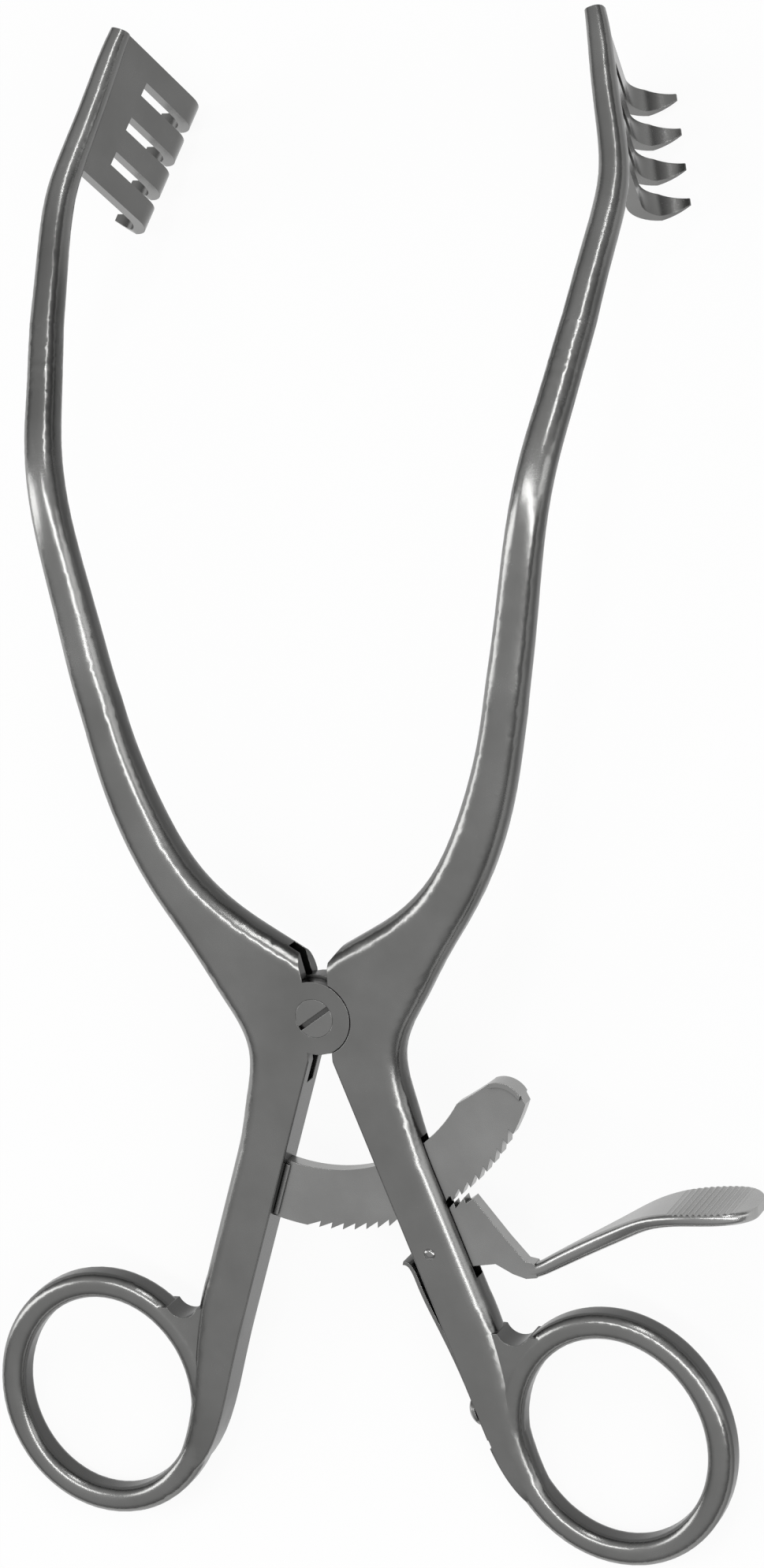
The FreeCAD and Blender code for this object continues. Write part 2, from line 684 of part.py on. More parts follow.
def sector(inner, outer, first, last):
    """Curves round a ring sector about the pivot."""
    middle = (first + last) / 2
    return [
        arc(about_pivot(inner, first), about_pivot(inner, middle), about_pivot(inner, last)),
        Part.LineSegment(about_pivot(inner, last), about_pivot(outer, last)),
        arc(about_pivot(outer, last), about_pivot(outer, middle), about_pivot(outer, first)),
        Part.LineSegment(about_pivot(outer, first), about_pivot(inner, first)),
    ]


def add_common(body, side, crotch):
    """What both halves share: flat plate, ankle, ring, web, arm and claw."""
    add_plate(body, side, crotch)
    add_run(body, side, "ankle", "foot", "shank_low")
    add_ring(body, side)
    add_web(body, side)
    add_run(body, side, "arm", "arm_mid", "arm_slope")
    add_run(body, side, "wrist", "arm_slope", "spine_tip")
    add_claw(body, side)


def build_left_half():
    """The half with the round lobes, the slot for the tongue and the seat of the ratchet bar."""
    body = new_body("left_half")
    add_common(body, -1, LEFT_CROTCH)
    lobe = circle_sketch(body, "lobe_outline", size("lobe_radius"), cell("lobe_radius"))
    extruded(body, "Pad", "lobes", lobe, cell("joint_thickness"))
    slot = circle_sketch(body, "tongue_slot_outline", size("slot_radius"), cell("slot_radius"))
    play = "%s + 2 * %s" % (cell("tongue_thickness"), cell("joint_gap"))
    extruded(body, "Pocket", "tongue_slot", slot, play)
    bore = circle_sketch(
        body, "left_bore_outline", size("screw_radius") + size("screw_gap"),
        "%s + %s" % (cell("screw_radius"), cell("screw_gap")),
    )
    extruded(body, "Pocket", "left_bore", bore, "2 * " + cell("joint_thickness"))
    seat = circle_sketch(
        body, "head_seat_outline", size("screw_head_radius") + size("screw_gap"),
        "%s + %s" % (cell("screw_head_radius"), cell("screw_gap")),
        Vector(0, 0, size("joint_thickness") / 2),
    )
    seat_depth = "%s + %s" % (cell("screw_head_depth"), cell("screw_gap"))
    extruded(body, "Pocket", "head_seat", seat, seat_depth, symmetric=False)
    play = size("bar_seat")
    mortise = loop_sketch(
        body, "bar_mortise_outline",
        sector(
            size("bar_inner_radius") - play, size("ratchet_tip_radius") + play,
            size("bar_tenon") - math.degrees(play / size("bar_inner_radius")), size("first_tooth"),
        ),
    )
    thickness = "%s + 2 * %s" % (cell("bar_thickness"), cell("bar_seat"))
    extruded(body, "Pocket", "bar_mortise", mortise, thickness)
    return body


def build_right_half():
    """The half with the tongue, and with the slot that lets the ratchet bar and lever through."""
    body = new_body("right_half")
    add_common(body, 1, RIGHT_CROTCH)
    room = "%s + %s" % (cell("lobe_radius"), cell("lobe_gap"))
    for name, face in (("front", 1), ("rear", -1)):
        recess = circle_sketch(
            body, name + "_recess_outline", size("lobe_radius") + size("lobe_gap"), room,
            Vector(0, 0, face * size("tongue_thickness") / 2),
        )
        extruded(
            body, "Pocket", name + "_recess", recess, cell("joint_thickness"),
            symmetric=False, backwards=face > 0,
        )
    tongue = circle_sketch(body, "tongue_outline", size("tongue_radius"), cell("tongue_radius"))
    extruded(body, "Pad", "tongue", tongue, cell("tongue_thickness"))
    bore = circle_sketch(
        body, "right_bore_outline", size("screw_radius") + size("screw_gap"),
        "%s + %s" % (cell("screw_radius"), cell("screw_gap")),
    )
    extruded(body, "Pocket", "right_bore", bore, "2 * " + cell("joint_thickness"))
    width = size("shank_width")
    corners = [
        shank_point(size("slot_start"), -width / 2),
        shank_point(size("slot_end"), -width / 2),
        shank_point(size("slot_end"), width * 1.5),
        shank_point(size("slot_start"), width * 1.5),
    ]
    slot = loop_sketch(body, "bar_slot_outline", polygon([mirrored(1, point) for point in corners]))
    thickness = "%s + 2 * %s" % (cell("bar_thickness"), cell("slot_gap"))
    extruded(body, "Pocket", "bar_slot", slot, thickness)
    pin_bore = circle_sketch(
        body, "pin_bore_outline", size("pin_radius") + size("pin_seat"),
        "%s + %s" % (cell("pin_radius"), cell("pin_seat")), pin_place(),
    )
    extruded(body, "Pocket", "pin_bore", pin_bore, "2 * " + cell("joint_thickness"))
    end = size("spring_foot") + 1
    flat_corners = [
        shank_point(size("slot_end") + width, -width),
        shank_point(size("slot_end") + width, size("spring_flat")),
        shank_point(end, size("spring_flat")),
        shank_point(end, -width),
    ]
    flat = loop_sketch(
        body, "spring_flat_outline", polygon([mirrored(1, point) for point in flat_corners])
    )
    extruded(body, "Pocket", "spring_flat_cut", flat, "2 * " + cell("joint_thickness"))
    screw_bore = circle_sketch(
        body, "spring_screw_bore_outline", size("spring_screw_radius") + size("spring_seat"),
        "%s + %s" % (cell("spring_screw_radius"), cell("spring_seat")),
        mirrored(1, shank_point(size("spring_screw_along"), 0)), facing(shank_down(), Vector(0, 0, 1)),
    )
    depth = "%s + 2 * %s" % (cell("spring_screw_length"), cell("spring_flat"))
    extruded(body, "Pocket", "spring_screw_bore", screw_bore, depth, symmetric=False)
    return body


# Pivot screw, ratchet bar, lever and spring.

def build_pivot_screw():
    """Slotted screw, its head flush in the front lobe and its neck through both lobes."""
    body = new_body("pivot_screw")
    neck = circle_sketch(body, "neck_outline", size("screw_radius"), cell("screw_radius"))
    extruded(body, "Pad", "neck", neck, cell("joint_thickness"))
    top = size("joint_thickness") / 2
    head = circle_sketch(
        body, "head_outline", size("screw_head_radius"), cell("screw_head_radius"),
        Vector(0, 0, top - size("screw_head_depth")),
    )
    extruded(body, "Pad", "head", head, cell("screw_head_depth"), symmetric=False)
    half = size("driver_slot_width") / 2
    reach = size("screw_head_radius") + half
    turn = math.radians(size("driver_slot_turn"))
    along = Vector(math.cos(turn), math.sin(turn), 0)
    corners = [
        Vector(-reach, -half, 0),
        Vector(reach, -half, 0),
        Vector(reach, half, 0),
        Vector(-reach, half, 0),
    ]
    slot = loop_sketch(
        body, "screw_slot_outline", polygon(corners), Vector(0, 0, top),
        facing(along, Vector(0, 0, 1).cross(along)),
    )
    extruded(body, "Pocket", "screw_slot", slot, cell("driver_slot_depth"), symmetric=False)
    return body


def build_ratchet_bar():
    """Curved bar about the pivot, with hooked teeth on its outer edge and a rim at its free end."""
    body = new_body("ratchet_bar")
    tips = size("ratchet_tip_radius")
    inner = size("bar_inner_radius")
    root = size("bar_tenon")
    end = size("bar_end")
    taper = size("bar_taper")
    corner = about_pivot(size("bar_end_inner"), end)
    ahead = about_pivot(1, end + 90)
    swing = about_pivot((inner + size("bar_end_inner")) / 2 - 0.15, (taper + end) / 2)
    blunt = tips - size("tooth_depth")
    outer_turn = end - math.degrees(size("tooth_depth") / tips)
    bulge = about_pivot((size("bar_end_inner") + blunt) / 2, end) + ahead * size("end_bulge")
    outline = loop_sketch(body, "bar_outline", [
        arc(about_pivot(inner, root), about_pivot(inner, (root + taper) / 2), about_pivot(inner, taper)),
        arc(about_pivot(inner, taper), swing, corner),
        arc(corner, bulge, about_pivot(blunt, end)),
        Part.LineSegment(about_pivot(blunt, end), about_pivot(tips, outer_turn)),
        arc(about_pivot(tips, outer_turn), about_pivot(tips, end / 2), about_pivot(tips, root)),
        Part.LineSegment(about_pivot(tips, root), about_pivot(inner, root)),
    ])
    extruded(body, "Pad", "bar_plate", outline, cell("bar_thickness"))
    first = size("first_tooth")
    pitch = size("tooth_pitch")
    gap = loop_sketch(body, "tooth_gap_outline", polygon([
        about_pivot(tips, first),
        about_pivot(blunt, first + pitch + size("tooth_hook")),
        about_pivot(tips, first + pitch),
        about_pivot(tips + 1, first + pitch),
        about_pivot(tips + 1, first),
    ]))
    cut = extruded(body, "Pocket", "tooth_gap", gap, "2 * " + cell("bar_thickness"))
    row = body.newObject("PartDesign::PolarPattern", "tooth_row")
    row.Originals = [cut]
    row.Axis = (origin_item(body, "Z_Axis"), [""])
    row.setExpression("Angle", "(%s - 1) * %s" % (cell("tooth_gaps"), cell("tooth_pitch")))
    row.Occurrences = int(size("tooth_gaps"))
    body.Tip = row
    back = ahead * -size("rim_width")
    rim = loop_sketch(body, "rim_outline", [
        arc(corner, bulge, about_pivot(blunt, end)),
        Part.LineSegment(about_pivot(blunt, end), about_pivot(blunt, end) + back),
        arc(about_pivot(blunt, end) + back, bulge + back, corner + back),
        Part.LineSegment(corner + back, corner),
    ])
    extruded(body, "Pad", "rim", rim, cell("rim_thickness"))
    gap = size("joint_gap")
    bead_places = [
        (size("bead_start"), -gap), (size("bead_end"), -gap),
        (size("bead_end"), -gap - size("bead_width")), (size("bead_start"), -gap - size("bead_width")),
    ]
    bead = loop_sketch(
        body, "bead_outline",
        polygon([mirrored(-1, shank_point(along, across)) for along, across in bead_places]),
    )
    extruded(body, "Pad", "bead", bead, cell("bead_thickness"))
    return body


def pin_place():
    """Middle of the lever pin."""
    return mirrored(1, shank_point(size("pin_along"), size("pin_across")))


def build_lever():
    """Release lever: toothed pawl nose, bored plate in the shank's slot, arm and thumb pad."""
    body = new_body("release_lever")
    pin = pin_place()
    tip = size("ratchet_tip_radius") - size("pawl_mesh")
    root = tip + size("pawl_depth")
    first = size("first_tooth") + size("pawl_gap") * size("tooth_pitch") - size("pawl_lag")
    back = Rotation(Vector(0, 0, 1), -size("pawl_swing"))
    corners = [pin + Vector(right, above, 0) for right, above in LEVER_PLATE]
    # The pawl teeth are laid out where they hold, then swung back to this attitude.
    for tooth in range(int(size("pawl_teeth"))):
        angle = first + tooth * size("tooth_pitch")
        for place in (about_pivot(tip, angle), about_pivot(root, angle - size("pawl_hook"))):
            corners.append(pin + back.multVec(place - pin))
    plate = loop_sketch(body, "plate_outline", polygon(corners))
    extruded(body, "Pad", "plate", plate, cell("lever_thickness"))
    sketches = []
    places = [pin + Vector(size(row[0] + "_right"), size(row[0] + "_above"), 0) for row in THUMB]
    for row, place, along in zip(THUMB, places, path_directions(places)):
        name = row[0]
        sketches.append(
            rounded_section(
                body, name + "_section", place, along, name + "_thickness", name + "_width",
                "lever_round", "lever_round",
            )
        )
    sketches.reverse()
    lofted(body, "thumb_arm", sketches)
    bore = circle_sketch(
        body, "lever_bore_outline", size("pin_radius") + size("pin_gap"),
        "%s + %s" % (cell("pin_radius"), cell("pin_gap")), pin,
    )
    extruded(body, "Pocket", "lever_bore", bore, "2 * " + cell("lever_thickness"))
    start = pin + Vector(size("pad_right"), size("pad_above"), 0)
    finish = pin + Vector(size("pad_end_right"), size("pad_end_above"), 0)
    along = (finish - start).normalize()
    above = Vector(0, 0, 1).cross(along)
    lift = size("pad_thickness") / 2 + size("groove_radius") - size("groove_depth")
    groove = circle_sketch(
        body, "groove_outline", size("groove_radius"), cell("groove_radius"),
        start - along * (size("groove_pitch") * 2) + above * lift, facing(along, above),
    )
    cut = extruded(body, "Pocket", "groove", groove, "2 * " + cell("pad_mid_width"))
    row = body.newObject("PartDesign::LinearPattern", "groove_row")
    row.Originals = [cut]
    row.Direction = (groove, ["H_Axis"])
    row.setExpression("Length", "(%s - 1) * %s" % (cell("groove_count"), cell("groove_pitch")))
    row.Occurrences = int(size("groove_count"))
    body.Tip = row
    return body


def build_lever_pin():
    """Pin with domed ends, held in both cheeks of the slotted shank."""
    body = new_body("lever_pin")
    radius = size("pin_radius")
    half = size("joint_thickness") / 2
    top = half + size("pin_proud")
    crown = radius * 0.3
    bend = radius * 0.75
    rise = half + size("pin_proud") * 0.62
    outline = loop_sketch(body, "pin_outline", [
        Part.LineSegment(Vector(0, -top, 0), Vector(0, top, 0)),
        Part.LineSegment(Vector(0, top, 0), Vector(crown, top, 0)),
        arc(Vector(crown, top, 0), Vector(bend, rise, 0), Vector(radius, half, 0)),
        Part.LineSegment(Vector(radius, half, 0), Vector(radius, -half, 0)),
        arc(Vector(radius, -half, 0), Vector(bend, -rise, 0), Vector(crown, -top, 0)),
        Part.LineSegment(Vector(crown, -top, 0), Vector(0, -top, 0)),
    ], pin_place(), facing(Vector(1, 0, 0), Vector(0, 0, 1)))
    turned_solid(body, "pin", outline, "V_Axis")
    return body


def turned_solid(body, name, sketch, axis):
    """A solid of revolution about an axis of its sketch."""
    feature = body.newObject("PartDesign::Revolution", name)
    feature.Profile = sketch
    feature.ReferenceAxis = (sketch, [axis])
    feature.Angle = 360
    body.Tip = feature
    return feature


def spring_back():
    """Place of the spring's outer face across the shank, where it is screwed down."""
    return size("spring_flat") - size("spring_seat")


def build_leaf_spring():
    """Leaf spring screwed to the inner edge of the shank, bearing on the lever's tail."""
    body = new_body("leaf_spring")
    half = size("spring_thickness") / 2
    seat = spring_back() - half
    tail = LEVER_PLATE[11]
    tail_place = pin_place() + Vector(tail[0], tail[1], 0) - mirrored(1, shank_point(0, 0))
    tail_along = tail_place.dot(shank_down())
    bow = tail_place.dot(shank_out()) - size("spring_touch") - half
    path = [
        (size("spring_foot"), seat),
        (size("spring_screw_along"), seat),
        (size("spring_screw_along") - 5, seat),
        ((size("spring_screw_along") - 5 + tail_along) / 2, seat * 0.45 + bow * 0.55),
        (tail_along + 1.5, bow),
        (tail_along - 0.4, bow - 0.05),
        (tail_along - 1.3, bow - 0.35),
        (tail_along - 1.7, bow - 0.95),
    ]
    places = [mirrored(1, shank_point(along, across)) for along, across in path]
    outer = []
    inner = []
    for place, along in zip(places, path_directions(places)):
        beside = Vector(-along.y, along.x, 0) * half
        outer.append(place + beside)
        inner.append(place - beside)
    outline = loop_sketch(body, "strip_outline", [
        smooth_line(outer),
        Part.LineSegment(outer[-1], inner[-1]),
        smooth_line(inner),
        Part.LineSegment(inner[0], outer[0]),
    ])
    extruded(body, "Pad", "strip", outline, cell("spring_width"))
    hole = circle_sketch(
        body, "strip_hole_outline", size("spring_screw_radius") + size("spring_seat"),
        "%s + %s" % (cell("spring_screw_radius"), cell("spring_seat")),
        mirrored(1, shank_point(size("spring_screw_along"), seat)),
        facing(shank_down(), Vector(0, 0, 1)),
    )
    extruded(body, "Pocket", "strip_hole", hole, "4 * " + cell("spring_thickness"))
    return body


def build_spring_screw():
    """Slotted round head screw that clamps the foot of the spring."""
    body = new_body("spring_screw")
    under = spring_back() - size("spring_thickness") - size("spring_seat")
    place = mirrored(1, shank_point(size("spring_screw_along"), under))
    radius = size("spring_screw_radius")
    head = size("spring_screw_head")
    height = size("spring_screw_height")
    length = size("spring_screw_length") + size("spring_thickness")
    shoulder = Vector(-height * 0.35, head, 0)
    outline = loop_sketch(body, "spring_screw_outline", [
        Part.LineSegment(Vector(length, 0, 0), Vector(-height, 0, 0)),
        arc(Vector(-height, 0, 0), Vector(-height * 0.86, head * 0.6, 0), shoulder),
        Part.LineSegment(shoulder, Vector(0, head, 0)),
        Part.LineSegment(Vector(0, head, 0), Vector(0, radius, 0)),
        Part.LineSegment(Vector(0, radius, 0), Vector(length - radius / 2, radius, 0)),
        Part.LineSegment(Vector(length - radius / 2, radius, 0), Vector(length, radius / 2, 0)),
        Part.LineSegment(Vector(length, radius / 2, 0), Vector(length, 0, 0)),
    ], place, facing(shank_out(), Vector(0, 0, 1)))
    turned_solid(body, "spring_screw_solid", outline, "H_Axis")
    half = size("driver_slot_width") / 2
    corners = [
        Vector(-head * 1.2, -half, 0),
        Vector(head * 1.2, -half, 0),
        Vector(head * 1.2, half, 0),
        Vector(-head * 1.2, half, 0),
    ]
    slot = loop_sketch(
        body, "spring_screw_slot_outline", polygon(corners), place - shank_out() * height,
        facing(shank_down(), Vector(0, 0, 1)),
    )
    extruded(body, "Pocket", "spring_screw_slot", slot, cell("driver_slot_depth"), symmetric=False)
    return body


bodies = [
    build_left_half(),
    build_right_half(),
    build_pivot_screw(),
    build_ratchet_bar(),
    build_lever(),
    build_lever_pin(),
    build_leaf_spring(),
    build_spring_screw(),
]
doc.recompute()


# Rest on a table: the tilt about X at which the rings and the claws lie equally deep.

def resting_place():
    """The shared placement: tilted onto rings and claws, middle of the base at the origin."""
    points = []
    for body in bodies:
        points.extend(body.Shape.tessellate(0.02)[0])
    low = 0.0
    high = 45.0

    def heights(tilt, chosen):
        sine = math.sin(math.radians(tilt))
        cosine = math.cos(math.radians(tilt))
        return [point.y * sine + point.z * cosine for point in chosen]

    claws = [point for point in points if point.y > size("arm_bend_along")]
    rings = [point for point in points if point.y < 0]
    for step in range(40):
        tilt = (low + high) / 2
        if min(heights(tilt, claws)) < min(heights(tilt, rings)):
            low = tilt
        else:
            high = tilt
    turn = Rotation(Vector(1, 0, 0), tilt)
    placed = [turn.multVec(point) for point in points]
    right = [point.x for point in placed]
    far = [point.y for point in placed]
    drop = min(point.z for point in placed)
    middle = Vector(-(min(right) + max(right)) / 2, -(min(far) + max(far)) / 2, -drop)
    print("tilt", round(tilt, 3), "shift", [round(value, 3) for value in middle])
    return Placement(middle, turn)


place = resting_place()
for body in bodies:
    body.Placement = place
doc.recompute()

for item in doc.Objects:
    if "Invalid" in item.State or "Error" in item.State:
        raise ValueError("%s is not sound: %s" % (item.Label, item.State))
for body in bodies:
    if body.Shape.isNull() or not body.Shape.isValid() or len(body.Shape.Solids) != 1:
        raise ValueError("%s is not one sound solid" % body.Label)

os.makedirs("parts", exist_ok=True)
for body in bodies:
    body.Shape.exportStep("parts/%s.step" % body.Label)
    print(body.Label, round(body.Shape.Volume, 1))
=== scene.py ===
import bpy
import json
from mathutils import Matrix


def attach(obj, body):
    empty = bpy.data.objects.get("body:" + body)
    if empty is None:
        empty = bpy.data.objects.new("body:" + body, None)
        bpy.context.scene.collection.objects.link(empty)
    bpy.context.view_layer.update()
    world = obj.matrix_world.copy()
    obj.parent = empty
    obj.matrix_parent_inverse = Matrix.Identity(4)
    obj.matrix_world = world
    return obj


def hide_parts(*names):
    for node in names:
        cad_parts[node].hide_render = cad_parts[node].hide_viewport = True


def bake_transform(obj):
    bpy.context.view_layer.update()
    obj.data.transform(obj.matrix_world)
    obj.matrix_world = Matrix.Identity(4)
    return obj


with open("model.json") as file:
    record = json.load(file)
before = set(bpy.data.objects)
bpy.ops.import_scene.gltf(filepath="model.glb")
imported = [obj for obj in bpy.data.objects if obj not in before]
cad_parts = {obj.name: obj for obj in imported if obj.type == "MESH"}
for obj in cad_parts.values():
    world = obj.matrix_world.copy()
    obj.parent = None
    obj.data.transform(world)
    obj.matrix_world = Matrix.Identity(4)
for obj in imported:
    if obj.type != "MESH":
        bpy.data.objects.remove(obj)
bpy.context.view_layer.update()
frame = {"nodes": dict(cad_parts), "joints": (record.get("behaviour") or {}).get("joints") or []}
import json
import math

import bmesh
import bpy
from mathutils import Matrix, Vector

# Self retaining retractor on a white table. Everything is in metres, in the row frame.

nodes = frame["nodes"]

# The plane of the handles, from the main pivot of the record.
pivot = Vector(frame["joints"][0]["pos_m"])
facing = Vector(frame["joints"][0]["axis"]).normalized()
rightward = Vector((1, 0, 0))
upward = facing.cross(rightward)


def handle_place(right, up, front):
    """A place given from the pivot along the handle plane's own directions."""
    return pivot + rightward * right + upward * up + facing * front


# Shader nodes. An input takes a plain value or the output of another node.

def feed(tree, entry, value):
    """Set or link one input of a shader node."""
    if isinstance(value, bpy.types.NodeSocket):
        tree.links.new(value, entry)
    else:
        entry.default_value = value


def add_node(tree, kind, **values):
    """A shader node with some of its inputs set or linked."""
    node = tree.nodes.new(kind)
    for name, value in values.items():
        feed(tree, node.inputs[name.replace("_", " ")], value)
    return node


def compute(tree, operation, *values):
    """The result of a Math node."""
    node = tree.nodes.new("ShaderNodeMath")
    node.operation = operation
    for entry, value in zip(node.inputs, values):
        feed(tree, entry, value)
    return node.outputs["Value"]


def reach_along(tree, vector, direction):
    """How far a vector reaches along a fixed direction."""
    node = tree.nodes.new("ShaderNodeVectorMath")
    node.operation = "DOT_PRODUCT"
    feed(tree, node.inputs[0], vector)
    feed(tree, node.inputs[1], direction)
    return node.outputs["Value"]


def carry(tree, value, span, low, high, interpolation="LINEAR"):
    """A value carried from its span to the range from low to high."""
    node = tree.nodes.new("ShaderNodeMapRange")
    node.interpolation_type = interpolation
    settings = {"From Min": span[0], "From Max": span[1], "To Min": low, "To Max": high}
    for name, setting in settings.items():
        feed(tree, node.inputs[name], setting)
    feed(tree, node.inputs["Value"], value)
    return node.outputs["Result"]


def noise(tree, vector, scale, detail, roughness):
    """Noise between 0 and 1, with its scale in cycles per metre."""
    node = add_node(
        tree, "ShaderNodeTexNoise",
        Vector=vector, Scale=scale, Detail=detail, Roughness=roughness
    )
    return node.outputs["Fac"]


# Steel. Each noise has a scale, a detail and a roughness. The grain's scale differs by finish.
CLOUD = (90.0, 4.0, 0.55)
LINES = (4200.0, 3.0, 0.6)
GRAIN = (2.0, 0.7)
# The parts of the noises' range that take tone and roughness from one end to the other.
TONE_SPAN = (0.3, 0.72)
ROUGH_SPAN = (0.3, 0.7)
CLOUD_SHARE = 0.5
GRAIN_SHARE = 0.5
# Blue lies this far under red and green.
WARMTH = 0.005
# Painted shade, from a narrow side to a flat, by how squarely a face looks along the pivot's axis.
FLAT_SPAN = (0.2, 0.95)
# Painted shade on the sides, from the arms to the claws, by the way up from the pivot.
CLAW_SPAN = (0.088, 0.098)
CLAW_SIDE_SHADE = 0.5
# Painted shade in crevices: how near other faces lie, how open the place is, and the share of tone
# that is left.
CREVICE_SHADE_REACH = 0.0012
CREVICE_SHADE_SPAN = (0.35, 0.85)
CREVICE_SHADE_TONE = 0.25
CREVICE_SHADE_SAMPLES = 6
RELIEF_DEPTH = 0.00004
EDGE_ROUNDING = 0.00012
EDGE_SAMPLES = 4


def painted_side_shade(tree, place, side):
    """Painted shade: the narrow sides are darkened in the base colour, and the flats keep their
    full tone.
    """
    # The sides of the claws get painted shade of a strength of their own.
    height = reach_along(tree, place.outputs["Object"], upward)
    claws = [pivot.dot(upward) + up for up in CLAW_SPAN]
    own_side = carry(tree, height, claws, side, CLAW_SIDE_SHADE, "SMOOTHSTEP")
    turned = compute(tree, "ABSOLUTE", reach_along(tree, place.outputs["Normal"], facing))
    return carry(tree, turned, FLAT_SPAN, own_side, 1.0, "SMOOTHSTEP")


def painted_crevice_shade(tree):
    """Painted shade darkens slots, tooth roots and the seams between pieces, by how closed in a
    place is.
    """
    hollow = add_node(tree, "ShaderNodeAmbientOcclusion", Distance=CREVICE_SHADE_REACH)
    hollow.samples = CREVICE_SHADE_SAMPLES
    return carry(tree, hollow.outputs["AO"], CREVICE_SHADE_SPAN, CREVICE_SHADE_TONE, 1.0)


def steel(name, light, dark, side, roughness, grain, brushing, bump):
    """Stainless steel with a cloudy tone, a fine blasted grain and faint lapping lines."""
    material = bpy.data.materials.new(name)
    material.use_nodes = True
    tree = material.node_tree
    place = tree.nodes.new("ShaderNodeTexCoord")
    # The lapping lines run along the instrument.
    stretch = add_node(
        tree, "ShaderNodeMapping", Vector=place.outputs["Object"], Scale=(1.0, brushing, 1.0)
    )
    cloud = noise(tree, place.outputs["Object"], *CLOUD)
    lines = noise(tree, stretch.outputs["Vector"], *LINES)
    speckle = noise(tree, place.outputs["Object"], grain, *GRAIN)

    tone = tree.nodes.new("ShaderNodeValToRGB")
    tree.links.new(cloud, tone.inputs["Fac"])
    for stop, position, level in zip(tone.color_ramp.elements, TONE_SPAN, (dark, light)):
        stop.position = position
        stop.color = (level, level, level - WARMTH, 1)
    shaded = tree.nodes.new("ShaderNodeVectorMath")
    shaded.operation = "SCALE"
    tree.links.new(tone.outputs["Color"], shaded.inputs[0])
    # Painted shade on the narrow sides and in the crevices, multiplied into the base colour.
    share = compute(tree, "MULTIPLY", painted_side_shade(tree, place, side), painted_crevice_shade(tree))
    tree.links.new(share, shaded.inputs["Scale"])

    grains = compute(tree, "MULTIPLY", speckle, GRAIN_SHARE)
    mixed = compute(tree, "MULTIPLY_ADD", cloud, CLOUD_SHARE, grains)
    rough = carry(tree, mixed, ROUGH_SPAN, *roughness)

    # A hair of rounding on every sharp edge, under the grain and the lines.
    edge = add_node(tree, "ShaderNodeBevel", Radius=EDGE_ROUNDING)
    edge.samples = EDGE_SAMPLES
    surface = add_node(
        tree, "ShaderNodeBump", Strength=bump, Distance=RELIEF_DEPTH,
        Height=compute(tree, "ADD", lines, speckle), Normal=edge.outputs["Normal"]
    )

    shader = tree.nodes["Principled BSDF"]
    shader.inputs["Metallic"].default_value = 1.0
    tree.links.new(shaded.outputs["Vector"], shader.inputs["Base Color"])
    tree.links.new(rough, shader.inputs["Roughness"])
    tree.links.new(surface.outputs["Normal"], shader.inputs["Normal"])
    return material


# The side is the share of tone that the painted shade leaves on the narrow sides; it is highest on
# the bright steel.
satin = steel(
    "satin_steel", light=0.31, dark=0.25, side=0.25,
    roughness=(0.20, 0.29), grain=5200.0, brushing=0.06, bump=0.12
)
bright = steel(
    "bright_steel", light=0.44, dark=0.35, side=0.8,
    roughness=(0.20, 0.30), grain=5200.0, brushing=0.3, bump=0.12
)
polished = steel(
    "polished_steel", light=0.35, dark=0.29, side=0.35,
    roughness=(0.15, 0.24), grain=6000.0, brushing=0.2, bump=0.08
)
spring = steel(
    "spring_steel", light=0.30, dark=0.24, side=0.35,
    roughness=(0.18, 0.28), grain=4800.0, brushing=0.04, bump=0.12
)

FINISHES = {
    "left_half": satin,
    "right_half": satin,
    "ratchet_bar": bright,
    "release_lever": bright,
    "pivot_screw": polished,
    "lever_pin": polished,
    "spring_screw": polished,
    "leaf_spring": spring,
}
for name, material in FINISHES.items():
    node = nodes[name]
    node.data.materials.clear()
    node.data.materials.append(material)


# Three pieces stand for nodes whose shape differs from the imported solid.
SAME_PLACE = 0.0000005
SHARP_ANGLE = math.radians(28)


def worked_copy(node, name, cuts, reach):
    """A closed copy of a node's solid, cut across at some planes within reach of their places."""
    mesh = node.data.copy()
    work = bmesh.new()
    work.from_mesh(mesh)
    bmesh.ops.remove_doubles(work, verts=work.verts, dist=SAME_PLACE)
    for place, normal in cuts:
        faces = [face for face in work.faces if (face.calc_center_median() - place).length < reach]
        edges = {edge for face in faces for edge in face.edges}
        corners = {corner for face in faces for corner in face.verts}
        bmesh.ops.bisect_plane(
            work, geom=[*corners, *edges, *faces], dist=SAME_PLACE, plane_co=place, plane_no=normal
        )
    for edge in work.edges:
        edge.smooth = len(edge.link_faces) == 2 and edge.calc_face_angle(0.0) < SHARP_ANGLE
    for face in work.faces:
        face.smooth = True
    work.to_mesh(mesh)
    work.free()
    piece = bpy.data.objects.new(name, mesh)
    bpy.context.scene.collection.objects.link(piece)
    return piece


def settle(piece):
    """Keep the flats flat in shading, and make the piece's modifiers part of its mesh."""
    flats = piece.modifiers.new("flats", "WEIGHTED_NORMAL")
    flats.keep_sharp = True
    finished = bpy.data.meshes.new_from_object(
        piece.evaluated_get(bpy.context.evaluated_depsgraph_get())
    )
    piece.modifiers.clear()
    piece.data = finished


# The two lofts of each arm meet at a seam behind the bend. Its place and the arm's run there are
# given to the right, up and to the front, and the stations lie along that run.
SEAM = (0.0353, 0.0800, -0.0085)
SEAM_RUN = (0.126, 0.813, -0.569)
STATIONS = [0.001 * station for station in range(-4, 8)]
STATION_PLAY = 0.000002
ARM_REACH = 0.007
CUT_REACH = 0.02


def middle_of(places, direction):
    """The middle between the first and the last of some places along a direction."""
    reaches = [place.dot(direction) for place in places]
    return (min(reaches) + max(reaches)) / 2


